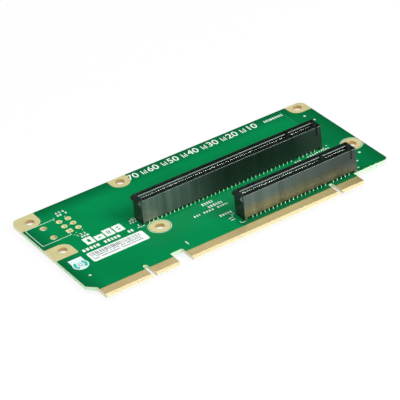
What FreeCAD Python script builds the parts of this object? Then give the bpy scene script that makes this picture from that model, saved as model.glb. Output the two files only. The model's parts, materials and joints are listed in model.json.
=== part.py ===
import FreeCAD, Part
import math
import os
import re
import Sketcher
from FreeCAD import Vector

# Riser card lying component side up. Millimetres, +Z up, +X along the card towards the
# overhang, -Y towards the edge tongues. The origin is under the middle of the outline, on the
# plane that the housings' locating pegs stand on.
# Inside this file a point of the board is given from the board's left edge (x) and from the
# tips of the edge tongues (y); board_point() turns it into the row frame.

doc = FreeCAD.newDocument("riser_card")
sheet = doc.addObject("Spreadsheet::Sheet", "Sizes")

SIZES = [
    # laminate and its outline
    ("board_depth", 70.6),
    ("board_thick", 1.57),
    ("left_shoulder", 3.3),
    ("right_overhang", 17.8),
    ("overhang_setback", 8.3),
    ("shoulder_setback", 7.6),
    ("shoulder_cut", 3.0),
    ("back_corner_radius", 3.0),
    ("front_corner_radius", 2.0),
    ("key_width", 1.9),
    ("key_depth", 8.3),
    ("tongue_gap", 5.75),
    ("gap_corner_radius", 0.6),
    ("tongue_corner", 1.2),
    ("bevel_length", 1.3),
    ("bevel_drop", 0.45),
    ("nick_radius", 0.35),
    ("nick_pitch", 2.7),
    ("nick_first", 6.1),
    # the tongues to each side of their keys, and the fingers on them
    ("short_side", 12.15),
    ("x16_long_side", 72.15),
    ("x4_long_side", 22.15),
    ("key_to_finger", 1.5),
    ("finger_margin", 0.3),
    ("finger_width", 0.7),
    ("finger_back", 5.45),
    ("contact_pitch", 1.0),
    ("plating", 0.05),
    # card slots
    ("slot_past_tongue", 1.85),
    ("x8_slot_y", 11.92),
    ("slot_spacing", 24.18),
    ("x16_slot_length", 89.0),
    ("x8_slot_length", 56.0),
    ("slot_width", 7.0),
    ("slot_height", 11.25),
    ("slot_standoff", 1.1),
    ("foot_length", 1.3),
    ("key_to_end", 14.5),
    ("contact_to_end", 3.0),
    ("key_web_clearance", 0.1),
    ("end_corner_radius", 0.4),
    ("groove_width", 1.8),
    ("groove_depth", 8.5),
    ("short_run_spare", 1.0),
    ("long_run_spare", 1.75),
    ("groove_lead_in", 0.2),
    ("pocket_width", 0.6),
    ("pocket_inner", 1.5),
    ("pocket_outer", 2.9),
    ("window_top", 0.95),
    ("core_pocket", 1.3),
    ("core_depth", 3.0),
    ("core_from_end", 1.35),
    ("edge_break", 0.08),
    ("ridge_reach", 1.3),
    ("ridge_top_reach", 0.5),
    ("ridge_side_inset", 0.4),
    ("ridge_peak_depth", 0.85),
    ("ridge_base_depth", 2.9),
    ("slit_width", 0.95),
    ("slit_height", 4.0),
    ("slit_cut", 0.35),
    ("slit_from_end", 2.3),
    ("peg_radius", 1.0),
    ("peg_hole_clearance", 0.1),
    ("peg_drop", 1.45),
    ("peg_past_contact", 1.5),
    # spring contacts and their joints
    ("contact_width", 0.4),
    ("contact_thick", 0.2),
    ("contact_gap", 1.1),
    ("contact_tip_flare", 0.4),
    ("contact_bow_flare", 0.57),
    ("contact_tip_depth", 1.35),
    ("contact_bend_depth", 1.95),
    ("contact_point_depth", 2.8),
    ("contact_bow_depth", 5.1),
    ("contact_leg_depth", 7.6),
    ("leg_clearance", 0.2),
    ("tail_bend_height", 0.7),
    ("inner_tail", 1.25),
    ("outer_tail", 3.25),
    ("tail_drop", 1.3),
    ("tail_hole", 0.8),
    ("solder_radius", 0.62),
    ("solder_tip_radius", 0.25),
    ("solder_drop", 0.85),
    # plated mounting holes
    ("screw_hole_radius", 2.0),
    ("edge_hole_x", 6.0),
    ("back_left_hole_inset", 5.5),
    ("left_hole_y", 38.5),
    ("back_hole_inset", 3.5),
    ("middle_hole_y", 27.7),
    ("back_middle_hole_x", 50.5),
    ("centre_hole_x", 45.15),
    ("right_hole_inset", 4.5),
    ("pad_radius", 4.4),
    ("left_pad_front", 5.3),
    ("left_pad_corner", 0.8),
    # footprint of the header that isn't fitted
    ("header_x", 15.4),
    ("header_y", 49.0),
    ("header_pitch", 4.2),
    ("header_pad_radius", 1.3),
    ("header_hole_radius", 0.9),
    ("header_peg_radius", 1.5),
    ("header_peg_reach", 7.4),
    # marks and stickers
    ("fiducial_radius", 0.6),
    ("left_fiducial_x", 5.45),
    ("left_fiducial_y", 16.3),
    ("right_fiducial_inset", 6.2),
    ("back_fiducial_y", 59.3),
    ("front_fiducial_y", 20.0),
    ("sticker_thick", 0.1),
    ("label_x", 11.65),
    ("label_y", 23.0),
    ("label_length", 26.1),
    ("label_depth", 7.0),
    ("label_corner", 0.9),
    ("seal_x", 6.25),
    ("seal_y", 24.9),
    ("seal_radius", 3.4),
    ("seal_tab_width", 6.0),
    ("seal_tab_end", 5.1),
]
for row, (alias, number) in enumerate(SIZES, start=1):
    sheet.set("A%d" % row, alias)
    sheet.set("B%d" % row, str(number))
    sheet.setAlias("B%d" % row, alias)
doc.recompute()
ALIASES = {alias for alias, number in SIZES}


def bound(text):
    """The same formula with every size's name pointing at its cell of the sheet."""
    return re.sub(r"[a-z_][a-z0-9_]*",
                  lambda word: "Sizes." + word.group(0) if word.group(0) in ALIASES
                  else word.group(0), text)


def value(text):
    """A formula of the sheet's sizes, as a number."""
    return float(sheet.evalExpression(bound(text)))


# Places that several pieces share, as formulas of the sheet's sizes.
BOARD_LOW = "peg_drop"
BOARD_TOP = "(peg_drop + board_thick)"
X4_TONGUE_LEFT = "left_shoulder"
X4_TONGUE_KEY = "(%s + x4_long_side)" % X4_TONGUE_LEFT
X4_TONGUE_RIGHT = "(%s + short_side)" % X4_TONGUE_KEY
X16_TONGUE_LEFT = "(%s + tongue_gap)" % X4_TONGUE_RIGHT
X16_TONGUE_KEY = "(%s + x16_long_side)" % X16_TONGUE_LEFT
X16_TONGUE_RIGHT = "(%s + short_side)" % X16_TONGUE_KEY
BOARD_LENGTH = "(%s + right_overhang)" % X16_TONGUE_RIGHT
SLOT_RIGHT = "(%s + slot_past_tongue)" % X16_TONGUE_RIGHT
SLOT_KEY = "(%s - key_to_end)" % SLOT_RIGHT
X16_SLOT_Y = "(x8_slot_y + slot_spacing)"
KEY_WEB_HALF = "(key_width / 2 - key_web_clearance)"
RIGHT_HOLE_X = "(%s - right_hole_inset)" % BOARD_LENGTH
BACK_HOLE_Y = "(board_depth - back_hole_inset)"
BACK_LEFT_HOLE_Y = "(board_depth - back_left_hole_inset)"
DRILL_RADIUS = "(screw_hole_radius + plating)"
HEADER_DRILL_RADIUS = "(header_hole_radius + plating)"
PEG_HOLE_RADIUS = "(peg_radius + peg_hole_clearance)"
# Beyond the outline, for a cut that has to leave through an edge or a face.
PAST = 1.0
# A full set of sides for small round things that are drawn with flats.
SIDES = 8


def board_point(x, y, z):
    """From the board's left edge and tongue tips to the row frame."""
    return Vector(x - value(BOARD_LENGTH) / 2, y - value("board_depth") / 2, z)


def count_in(run):
    """How many contacts, one pitch apart, a run past the first one has room for."""
    return 1 + int(value("(%s) / contact_pitch" % run) + 1e-6)


def tongue_count(side):
    """Fingers on one side of a tongue's key."""
    return count_in("%s - key_to_finger - finger_margin - finger_width / 2" % side)


def slot_count(run):
    """Contacts of a slot on one side of its key, from the run out to the slot's end."""
    return count_in("%s - key_to_finger - contact_to_end" % run)


# ---------------------------------------------------------------- sketches and features

def origin_plane(body, role):
    return [item for item in body.Origin.OriginFeatures if item.Role == role][0]


def new_body(name):
    body = doc.addObject("PartDesign::Body", name)
    body.Label = name
    return body


def new_sketch(body, name, plane="XY_Plane", offset=("0", "0", "0")):
    """A sketch whose own origin is moved by three formulas along its plane's axes."""
    sketch = body.newObject("Sketcher::SketchObject", name)
    sketch.AttachmentSupport = [(origin_plane(body, plane), "")]
    sketch.MapMode = "FlatFace"
    for axis, text in zip("xyz", offset):
        sketch.setExpression("AttachmentOffset.Base." + axis, bound(text))
    return sketch


def board_sketch(body, name, height="0"):
    """A flat sketch measured from the board's left edge and tongue tips."""
    return new_sketch(body, name, "XY_Plane",
                      ("-%s / 2" % BOARD_LENGTH, "-board_depth / 2", height))


def constrain(sketch, tag, kind, args, text):
    index = sketch.addConstraint(Sketcher.Constraint(kind, *args, value(text)))
    sketch.renameConstraint(index, tag)
    sketch.setExpression("Constraints." + tag, bound(text))


def add_outline(sketch, tag, points):
    """A closed chain of lines, each corner given as two formulas."""
    places = [Vector(value(x), value(y), 0) for x, y in points]
    first = sketch.GeometryCount
    count = len(points)
    for number in range(count):
        sketch.addGeometry(Part.LineSegment(places[number], places[(number + 1) % count]))
    for number in range(count):
        sketch.addConstraint(Sketcher.Constraint(
            "Coincident", first + number, 2, first + (number + 1) % count, 1))
    for number, (x, y) in enumerate(points):
        constrain(sketch, "%s_x%d" % (tag, number), "DistanceX",
                  (-1, 1, first + number, 1), x)
        constrain(sketch, "%s_y%d" % (tag, number), "DistanceY",
                  (-1, 1, first + number, 1), y)


def add_rectangle(sketch, tag, left, front, right, back):
    add_outline(sketch, tag, [(left, front), (right, front), (right, back), (left, back)])


def add_circle(sketch, tag, x, y, radius):
    index = sketch.addGeometry(Part.Circle(
        Vector(value(x), value(y), 0), Vector(0, 0, 1), value(radius)))
    constrain(sketch, tag + "_x", "DistanceX", (-1, 1, index, 3), x)
    constrain(sketch, tag + "_y", "DistanceY", (-1, 1, index, 3), y)
    constrain(sketch, tag + "_r", "Radius", (index,), radius)


def pad(body, name, sketch, height, downwards=False):
    feature = body.newObject("PartDesign::Pad", name)
    feature.Profile = sketch
    feature.setExpression("Length", bound(height))
    feature.Reversed = downwards
    return feature


def pocket(body, name, sketch, depth=None, both_ways=False, upwards=False):
    feature = body.newObject("PartDesign::Pocket", name)
    feature.Profile = sketch
    if depth is None:
        feature.Type = "ThroughAll"
    else:
        feature.setExpression("Length", bound(depth))
    feature.Midplane = both_ways
    feature.Reversed = upwards
    return feature


def upright_edges(feature, places):
    """Names of the edges of a feature that stand on the given points of the board."""
    found = []
    for x, y in places:
        target = board_point(value(x), value(y), 0)
        for number, edge in enumerate(feature.Shape.Edges, start=1):
            ends = [vertex.Point for vertex in edge.Vertexes]
            if len(ends) == 2 and all(
                    math.hypot(end.x - target.x, end.y - target.y) < 0.001 for end in ends):
                found.append("Edge%d" % number)
    return found


def round_corners(body, name, base, places, radius):
    doc.recompute()
    feature = body.newObject("PartDesign::Fillet", name)
    feature.Base = (base, upright_edges(base, places))
    feature.setExpression("Radius", bound(radius))
    return feature


def cut_corners(body, name, base, places, size):
    doc.recompute()
    feature = body.newObject("PartDesign::Chamfer", name)
    feature.Base = (base, upright_edges(base, places))
    feature.setExpression("Size", bound(size))
    return feature


def lift(item, height):
    item.setExpression("Placement.Base.z", bound(height))


# ---------------------------------------------------------------- where things repeat

def contact_places(key, short_count, long_count):
    """The x of each contact with its number, counted from the overhang's end."""
    first = value(key + " + key_to_finger")
    pitch = value("contact_pitch")
    short = [(short_count - step, first + step * pitch) for step in range(short_count)]
    start = value(key + " - key_to_finger")
    long = [(short_count + 1 + step, start - step * pitch) for step in range(long_count)]
    return short + long


def tail_reach(number):
    """Even contacts end in the outer row of holes, odd ones in the inner row."""
    return value("outer_tail") if number % 2 == 0 else value("inner_tail")


SHORT_COUNT = slot_count("key_to_end")
SLOTS = [
    ("x16", X16_SLOT_Y, "x16_slot_length", slot_count("x16_slot_length - key_to_end")),
    ("x8", "x8_slot_y", "x8_slot_length", slot_count("x8_slot_length - key_to_end")),
]
SCREW_HOLES = [
    ("back_left", "edge_hole_x", BACK_LEFT_HOLE_Y),
    ("left", "edge_hole_x", "left_hole_y"),
    ("back_middle", "back_middle_hole_x", BACK_HOLE_Y),
    ("centre", "centre_hole_x", "middle_hole_y"),
    ("back_right", RIGHT_HOLE_X, BACK_HOLE_Y),
    ("right", RIGHT_HOLE_X, "middle_hole_y"),
]


def header_places():
    """Formulas for the six header holes: two columns of three."""
    return [("header_x + %d * header_pitch" % column, "header_y + %d * header_pitch" % row)
            for column in range(2) for row in range(3)]


def peg_xs(long_count):
    """Formulas for a housing's locating pegs: at the key, and past the last contact."""
    reach = "key_to_finger + %d * contact_pitch + peg_past_contact" % (long_count - 1)
    return [SLOT_KEY, "%s - (%s)" % (SLOT_KEY, reach)]


def slot_peg_places():
    return [(x, y) for name, y, length, count in SLOTS for x in peg_xs(count)]


def every_tail():
    """Centre of every connector tail, in the board's own measure."""
    places = []
    for name, slot_y, length, long_count in SLOTS:
        for number, x in contact_places(SLOT_KEY, SHORT_COUNT, long_count):
            for side in (-1, 1):
                places.append((x, value(slot_y) + side * tail_reach(number)))
    return places


def small_prism(radius, low, high, top_radius=None):
    """An upright bar, or a taper, with SIDES flats whose corners lie on the radius."""
    top_radius = radius if top_radius is None else top_radius
    wires = []
    for reach, height in ((radius, low), (top_radius, high)):
        corners = [Vector(reach * math.cos(math.pi * (2 * step + 1) / SIDES),
                          reach * math.sin(math.pi * (2 * step + 1) / SIDES), height)
                   for step in range(SIDES)]
        wires.append(Part.makePolygon(corners + corners[:1]))
    return Part.makeLoft(wires, True, True)


def copies(unit, places):
    """Separate copies of one solid, moved to each place."""
    solids = []
    for place in places:
        solid = unit.copy()
        solid.translate(place)
        solids.append(solid)
    return Part.makeCompound(solids)


def shape_part(name, shape):
    item = doc.addObject("Part::Feature", name)
    item.Label = name
    item.Shape = shape
    return item


# ---------------------------------------------------------------- the laminate

def make_board():
    body = new_body("board_blank")
    sketch = board_sketch(body, "plate_outline")
    add_rectangle(sketch, "plate", "0", "0", BOARD_LENGTH, "board_depth")
    pad(body, "plate", sketch, "board_thick")

    cuts = board_sketch(body, "edge_cutouts")
    front = "-%s" % PAST
    add_rectangle(cuts, "overhang", X16_TONGUE_RIGHT, front,
                  "%s + %s" % (BOARD_LENGTH, PAST), "overhang_setback")
    add_rectangle(cuts, "shoulder", "-%s" % PAST, front, X4_TONGUE_LEFT, "shoulder_setback")
    add_rectangle(cuts, "gap", X4_TONGUE_RIGHT, front, X16_TONGUE_LEFT, "overhang_setback")
    for tag, key in (("x16_key", X16_TONGUE_KEY), ("x4_key", X4_TONGUE_KEY)):
        add_rectangle(cuts, tag, key + " - key_width / 2", front,
                      key + " + key_width / 2", "key_depth - key_width / 2")
    base = pocket(body, "cutouts", cuts, both_ways=True)

    rounds = board_sketch(body, "key_ends")
    for tag, key in (("x16_end", X16_TONGUE_KEY), ("x4_end", X4_TONGUE_KEY)):
        add_circle(rounds, tag, key, "key_depth - key_width / 2", "key_width / 2")
    base = pocket(body, "key_rounds", rounds, both_ways=True)

    base = round_corners(body, "back_corners", base,
                         [("0", "board_depth"), (BOARD_LENGTH, "board_depth")],
                         "back_corner_radius")
    base = round_corners(body, "overhang_corner", base,
                         [(BOARD_LENGTH, "overhang_setback")], "front_corner_radius")
    base = round_corners(body, "gap_corners", base,
                         [(X4_TONGUE_RIGHT, "overhang_setback"),
                          (X16_TONGUE_LEFT, "overhang_setback")], "gap_corner_radius")
    base = cut_corners(body, "shoulder_corner", base,
                       [("0", "shoulder_setback")], "shoulder_cut")
    base = cut_corners(body, "tongue_corners", base,
                       [(X4_TONGUE_RIGHT, "0"), (X16_TONGUE_RIGHT, "0")], "tongue_corner")

    bevel = new_sketch(body, "tip_bevels", "YZ_Plane", ("-board_depth / 2", "0", "0"))
    add_outline(bevel, "low", [("0", "0"), ("bevel_length", "0"), ("0", "bevel_drop")])
    add_outline(bevel, "high", [("0", "board_thick"), ("0", "board_thick - bevel_drop"),
                                ("bevel_length", "board_thick")])
    pocket(body, "bevels", bevel, both_ways=True)

    holes = board_sketch(body, "drilled_holes")
    for tag, x, y in SCREW_HOLES:
        add_circle(holes, tag, x, y, DRILL_RADIUS)
    for number, (x, y) in enumerate(header_places()):
        add_circle(holes, "header%d" % number, x, y, HEADER_DRILL_RADIUS)
    for number in range(2):
        add_circle(holes, "header_peg%d" % number, "header_x - header_peg_reach",
                   "header_y + %d * header_pitch" % (2 * number), "header_peg_radius")
    for number, (x, y) in enumerate(slot_peg_places()):
        add_circle(holes, "slot_peg%d" % number, x, y, PEG_HOLE_RADIUS)
    for number in range(3):
        add_circle(holes, "nick%d" % number,
                   "%s + nick_first + %d * nick_pitch" % (X16_TONGUE_RIGHT, number),
                   "overhang_setback", "nick_radius")
    pocket(body, "holes", holes, both_ways=True)
    lift(body, BOARD_LOW)
    doc.recompute()

    drill = small_prism(value("tail_hole / 2"), value(BOARD_LOW) - PAST,
                        value(BOARD_TOP) + PAST)
    drills = shape_part("tail_drills",
                        copies(drill, [board_point(x, y, 0) for x, y in every_tail()]))
    board = doc.addObject("Part::Cut", "circuit_board")
    board.Label = "circuit_board"
    board.Base = body
    board.Tool = drills
    return board, body


# ---------------------------------------------------------------- card slots

def make_housing(name, slot_y, length, long_count):
    """A moulded slot housing: block on two feet, end ridge, pegs and card groove."""
    body = new_body(name + "_blank")
    left = "(%s - %s)" % (SLOT_RIGHT, length)
    front = "(%s - slot_width / 2)" % slot_y
    back = "(%s + slot_width / 2)" % slot_y
    bottom = "(%s + slot_standoff)" % BOARD_TOP
    top = "(%s + slot_height)" % BOARD_TOP

    block = board_sketch(body, "block_outline", bottom)
    add_rectangle(block, "block", left, front, SLOT_RIGHT, back)
    pad(body, "block", block, "slot_height - slot_standoff")

    feet = board_sketch(body, "feet_outline", BOARD_TOP)
    add_rectangle(feet, "left_foot", left, front, left + " + foot_length", back)
    add_rectangle(feet, "right_foot", SLOT_RIGHT + " - foot_length", front, SLOT_RIGHT, back)
    base = pad(body, "feet", feet, "slot_standoff")
    round_corners(body, "end_corners", base,
                  [(x, y) for x in (left, SLOT_RIGHT) for y in (front, back)],
                  "end_corner_radius")

    breaks = new_sketch(body, "edge_breaks", "YZ_Plane", ("-board_depth / 2", "0", "0"))
    for tag, y, into in (("front", front, " + "), ("back", back, " - ")):
        add_outline(breaks, tag, [(y, top), (y + into + "edge_break", top),
                                  (y, top + " - edge_break")])
    pocket(body, "top_edges", breaks, both_ways=True)

    pegs = board_sketch(body, "peg_outline", bottom)
    for number, x in enumerate(peg_xs(long_count)):
        add_circle(pegs, "peg%d" % number, x, slot_y, "peg_radius")
    pad(body, "pegs", pegs, bottom, downwards=True)

    # The ridge is drawn in the plane of the card's length and padded across the slot.
    ridge = new_sketch(
        body, "ridge_profile", "XZ_Plane",
        ("-%s / 2" % BOARD_LENGTH, "0", "-(%s - ridge_side_inset - board_depth / 2)" % back))
    add_outline(ridge, "ridge", [
        (left, top + " - ridge_base_depth"), (left, top), (left + " - ridge_top_reach", top),
        (left + " - ridge_reach", top + " - ridge_peak_depth")])
    pad(body, "ridge", ridge, "slot_width - 2 * ridge_side_inset")

    groove = board_sketch(body, "groove_outline", top)
    for tag, (start, end) in groove_runs(long_count).items():
        add_rectangle(groove, tag, start, slot_y + " - groove_width / 2",
                      end, slot_y + " + groove_width / 2")
    pocket(body, "groove", groove, "groove_depth")

    cores = board_sketch(body, "core_outline", top)
    for tag, x in (("right", SLOT_RIGHT + " - core_from_end"), ("key", SLOT_KEY),
                   ("left", left + " + core_from_end")):
        for side, sign in (("front", "-"), ("back", "+")):
            middle = "(%s %s (pocket_inner + pocket_outer) / 2)" % (slot_y, sign)
            add_rectangle(cores, "%s_%s" % (tag, side),
                          x + " - core_pocket / 2", middle + " - core_pocket / 2",
                          x + " + core_pocket / 2", middle + " + core_pocket / 2")
    pocket(body, "cores", cores, "core_depth")

    slit = board_sketch(body, "slit_outline", top)
    add_rectangle(slit, "slit", SLOT_RIGHT + " - slit_from_end - slit_width",
                  front + " - %s" % PAST, SLOT_RIGHT + " - slit_from_end",
                  front + " + slit_cut")
    pocket(body, "slit", slit, "slit_height")
    doc.recompute()

    tools = shape_part(name + "_cavities", slot_cavities(slot_y, long_count))
    housing = doc.addObject("Part::Cut", name + "_housing")
    housing.Label = name + "_housing"
    housing.Base = body
    housing.Tool = tools
    return housing


def groove_runs(long_count):
    """Formulas for both ends of the card groove, on each side of the key's web."""
    reach = "(key_to_finger + %d * contact_pitch + %s)"
    return {
        "short": ("(%s + %s)" % (SLOT_KEY, KEY_WEB_HALF),
                  SLOT_KEY + " + " + reach % (SHORT_COUNT - 1, "short_run_spare")),
        "long": (SLOT_KEY + " - " + reach % (long_count - 1, "long_run_spare"),
                 "(%s - %s)" % (SLOT_KEY, KEY_WEB_HALF)),
    }


def slot_cavities(slot_y, long_count):
    """What is cut out for the contacts, with the groove's sloped lead-in on both sides."""
    top = value(BOARD_TOP + " + slot_height")
    low = value(BOARD_TOP + " + slot_standoff") - PAST
    half_groove = value("groove_width / 2")
    inner, outer = value("pocket_inner"), value("pocket_outer")
    window_high = top - value("window_top")
    window_low = top - value("groove_depth")
    width = value("pocket_width")
    within = half_groove / 2
    tools = []
    for side in (-1, 1):
        profile = [(within, window_low), (within, window_high), (inner, window_high),
                   (inner, top + PAST), (outer, top + PAST), (outer, low),
                   (inner, low), (inner, window_low)]
        corners = [Vector(-width / 2, side * reach, height) for reach, height in profile]
        face = Part.Face(Part.makePolygon(corners + corners[:1]))
        unit = face.extrude(Vector(width, 0, 0))
        places = [board_point(x, value(slot_y), 0)
                  for number, x in contact_places(SLOT_KEY, SHORT_COUNT, long_count)]
        tools += copies(unit, places).Solids
        tools += lead_in_wedges(slot_y, long_count, side, top)
    return Part.makeCompound(tools)


def lead_in_wedges(slot_y, long_count, side, top):
    slope = value("groove_lead_in")
    half_groove = value("groove_width / 2")
    profile = [(half_groove, top - slope), (half_groove + slope, top),
               (half_groove + slope, top + PAST), (half_groove, top + PAST)]
    wedges = []
    for start, end in groove_runs(long_count).values():
        corners = [board_point(value(start), value(slot_y) + side * across, height)
                   for across, height in profile]
        face = Part.Face(Part.makePolygon(corners + corners[:1]))
        wedges.append(face.extrude(Vector(value(end) - value(start), 0, 0)))
    return wedges


# ---------------------------------------------------------------- contacts and solder

def ribbon(points, thick):
    """The outline of a bent strip of even thickness along a chain of (across, height)."""
    def side_points(sign):
        moved = []
        for number, (across, height) in enumerate(points):
            before = points[max(number - 1, 0)]
            after = points[min(number + 1, len(points) - 1)]
            first = unit_normal(before, (across, height)) if number else None
            last = unit_normal((across, height), after) if after != (across, height) else None
            first, last = first or last, last or first
            middle = (first[0] + last[0], first[1] + last[1])
            size = math.hypot(*middle)
            middle = (middle[0] / size, middle[1] / size)
            cosine = middle[0] * first[0] + middle[1] * first[1]
            step = sign * thick / 2 / cosine
            moved.append((across + middle[0] * step, height + middle[1] * step))
        return moved
    return side_points(1) + side_points(-1)[::-1]


def unit_normal(start, end):
    along = (end[0] - start[0], end[1] - start[1])
    size = math.hypot(*along)
    return (-along[1] / size, along[0] / size)


def contact_unit(side, number):
    """One spring contact of a slot, at x 0 and at the slot's middle."""
    top = BOARD_TOP + " + slot_height"
    outer_row = number % 2 == 0
    leg = value("pocket_outer - leg_clearance - contact_thick / 2" if outer_row
                else "pocket_inner + leg_clearance + contact_thick / 2")
    tail = tail_reach(number)
    touch = value("contact_gap / 2")
    chain = [
        (touch + value("contact_tip_flare"), value(top + " - contact_tip_depth")),
        (touch, value(top + " - contact_bend_depth")),
        (touch, value(top + " - contact_point_depth")),
        (touch + value("contact_bow_flare"), value(top + " - contact_bow_depth")),
        (leg, value(top + " - contact_leg_depth")),
        (leg, value(BOARD_TOP + " + slot_standoff")),
        (tail, value(BOARD_TOP + " + tail_bend_height")),
        (tail, value(BOARD_LOW + " - tail_drop")),
    ]
    width = value("contact_width")
    corners = [Vector(-width / 2, side * across, height)
               for across, height in ribbon(chain, value("contact_thick"))]
    return Part.Face(Part.makePolygon(corners + corners[:1])).extrude(Vector(width, 0, 0))


def make_contacts(name, slot_y, long_count):
    for label, side in (("front", -1), ("back", 1)):
        units = {parity: contact_unit(side, parity) for parity in (0, 1)}
        solids = []
        for number, x in contact_places(SLOT_KEY, SHORT_COUNT, long_count):
            solid = units[number % 2].copy()
            solid.translate(board_point(x, value(slot_y), 0))
            solids.append(solid)
        shape_part("%s_%s_contacts" % (name, label), Part.makeCompound(solids))


def make_solder(name, slot_y, long_count):
    low, high = value(BOARD_LOW), value(BOARD_TOP)
    barrel = small_prism(value("tail_hole / 2"), low, high)
    cone = small_prism(value("solder_tip_radius"), low - value("solder_drop"), low,
                       value("solder_radius"))
    width, thick = value("contact_width"), value("contact_thick")
    tail = Part.makeBox(width, thick, high + 2 * PAST,
                        Vector(-width / 2, -thick / 2, -PAST))
    joint = barrel.fuse(cone).removeSplitter().cut(tail)
    places = [board_point(x, value(slot_y) + side * tail_reach(number), 0)
              for number, x in contact_places(SLOT_KEY, SHORT_COUNT, long_count)
              for side in (-1, 1)]
    shape_part(name + "_solder_joints", copies(joint.Solids[0], places))


# ---------------------------------------------------------------- bare metal on the board

def make_fingers(name, key, long_side):
    front, back = value("bevel_length"), value("finger_back")
    width, plating = value("finger_width"), value("plating")
    for label, height in (("top", value(BOARD_TOP)), ("bottom", value(BOARD_LOW + " - plating"))):
        unit = Part.makeBox(width, back - front, plating, Vector(-width / 2, front, height))
        places = [board_point(x, 0, 0) for number, x in contact_places(
            key, tongue_count("short_side"), tongue_count(long_side))]
        shape_part("%s_%s_fingers" % (name, label), copies(unit, places))


def rounded_plate(left, front, right, back, radii, low, thick):
    """A flat plate; the four corner radii start at the front left and go round."""
    corners = [(left, front, 1, 1), (right, front, -1, 1),
               (right, back, -1, -1), (left, back, 1, -1)]
    turns = [(math.pi, 1.5 * math.pi), (1.5 * math.pi, 2 * math.pi),
             (0, math.pi / 2), (math.pi / 2, math.pi)]
    edges = []
    ends = []
    for (x, y, into_x, into_y), (start, stop), radius in zip(corners, turns, radii):
        centre = (x + into_x * radius, y + into_y * radius)
        spots = [Vector(centre[0] + radius * math.cos(angle),
                        centre[1] + radius * math.sin(angle), low)
                 for angle in (start, (start + stop) / 2, stop)]
        if radius > 0:
            edges.append(Part.Arc(*spots).toShape())
        ends.append((spots[0], spots[2]))
    for number in range(4):
        start, stop = ends[number][1], ends[(number + 1) % 4][0]
        if (stop - start).Length > 1e-6:
            edges.append(Part.LineSegment(start, stop).toShape())
    wire = Part.Wire(Part.__sortEdges__(edges))
    return Part.Face(wire).extrude(Vector(0, 0, thick))


def plated_hole(x, y, hole_radius, pad_prism, outline=None):
    """Copper on both faces of the board, joined by the lining of its hole."""
    plating = value("plating")
    low, high = value(BOARD_LOW), value(BOARD_TOP)
    lining = Part.makeCylinder(hole_radius + plating, high - low + 2 * plating,
                               Vector(x, y, low - plating))
    solid = lining
    for height in (low - plating, high):
        plate = pad_prism.copy()
        plate.translate(Vector(0, 0, height))
        if outline is not None:
            trim = outline.copy()
            trim.translate(Vector(0, 0, height))
            plate = plate.common(trim)
        solid = solid.fuse(plate)
    bore = Part.makeCylinder(hole_radius, high - low + 4 * PAST, Vector(x, y, low - 2 * PAST))
    return solid.cut(bore).removeSplitter().Solids[0]


def board_outline_plate(board_body):
    """The board's outline without its holes, one plating thick."""
    flat = [face for face in board_body.Shape.Faces
            if abs(face.CenterOfMass.z - value(BOARD_TOP)) < 1e-6][0]
    return Part.Face(flat.OuterWire).extrude(Vector(0, 0, value("plating"))).translated(
        Vector(0, 0, -value(BOARD_TOP)))


def make_ground_pads(board_body):
    """The pads round the screw holes; those near an edge run out to it."""
    outline = board_outline_plate(board_body)
    radius = value("pad_radius")
    out = value("board_depth")
    left_front = value("left_pad_front")
    shapes = {
        "back_left": ((out, radius, radius, out), (0, radius, 0, 0)),
        "left": ((out, left_front, radius, radius), (0, value("left_pad_corner"), radius, 0)),
        "back_middle": ((radius, radius, radius, out), (radius, radius, 0, 0)),
        "centre": ((radius, radius, radius, radius), (radius,) * 4),
        "back_right": ((radius, radius, out, out), (radius, 0, 0, 0)),
        "right": ((radius, radius, radius, radius), (radius,) * 4),
    }
    for tag, x, y in SCREW_HOLES:
        centre = board_point(value(x), value(y), 0)
        (to_left, to_front, to_right, to_back), radii = shapes[tag]
        prism = rounded_plate(centre.x - to_left, centre.y - to_front, centre.x + to_right,
                              centre.y + to_back, radii, 0, value("plating"))
        shape_part("ground_pad_" + tag,
                   plated_hole(centre.x, centre.y, value("screw_hole_radius"), prism, outline))


def make_header_pads():
    radius, plating = value("header_pad_radius"), value("plating")
    solids = []
    for number, (x, y) in enumerate(header_places()):
        centre = board_point(value(x), value(y), 0)
        square = number == 0
        corner = 0 if square else radius
        prism = rounded_plate(centre.x - radius, centre.y - radius, centre.x + radius,
                              centre.y + radius, (corner,) * 4, 0, plating)
        solids.append(plated_hole(centre.x, centre.y, value("header_hole_radius"), prism))
    shape_part("header_pads", Part.makeCompound(solids))


def make_fiducials():
    right = value(BOARD_LENGTH + " - right_fiducial_inset")
    places = [(value("left_fiducial_x"), value("left_fiducial_y")),
              (right, value("back_fiducial_y")), (right, value("front_fiducial_y"))]
    dot = Part.makeCylinder(value("fiducial_radius"), value("plating"))
    shape_part("fiducial_dots",
               copies(dot, [board_point(x, y, value(BOARD_TOP)) for x, y in places]))


# ---------------------------------------------------------------- stickers

def make_label():
    body = new_body("serial_label")
    sketch = board_sketch(body, "label_outline", BOARD_TOP)
    add_rectangle(sketch, "label", "label_x", "label_y",
                  "label_x + label_length", "label_y + label_depth")
    base = pad(body, "label", sketch, "sticker_thick")
    corners = [(x, y) for x in ("label_x", "label_x + label_length")
               for y in ("label_y", "label_y + label_depth")]
    round_corners(body, "label_corners", base, corners, "label_corner")
    return body


def make_seal():
    body = new_body("inspection_sticker")
    tab = board_sketch(body, "tab_outline", BOARD_TOP)
    add_rectangle(tab, "tab", "seal_x - seal_tab_width / 2", "seal_y",
                  "seal_x + seal_tab_width / 2", "seal_y + seal_tab_end")
    pad(body, "tab", tab, "sticker_thick")
    disc = board_sketch(body, "disc_outline", BOARD_TOP)
    add_circle(disc, "disc", "seal_x", "seal_y", "seal_radius")
    pad(body, "disc", disc, "sticker_thick")
    return body


# ---------------------------------------------------------------- build, check and write

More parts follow.
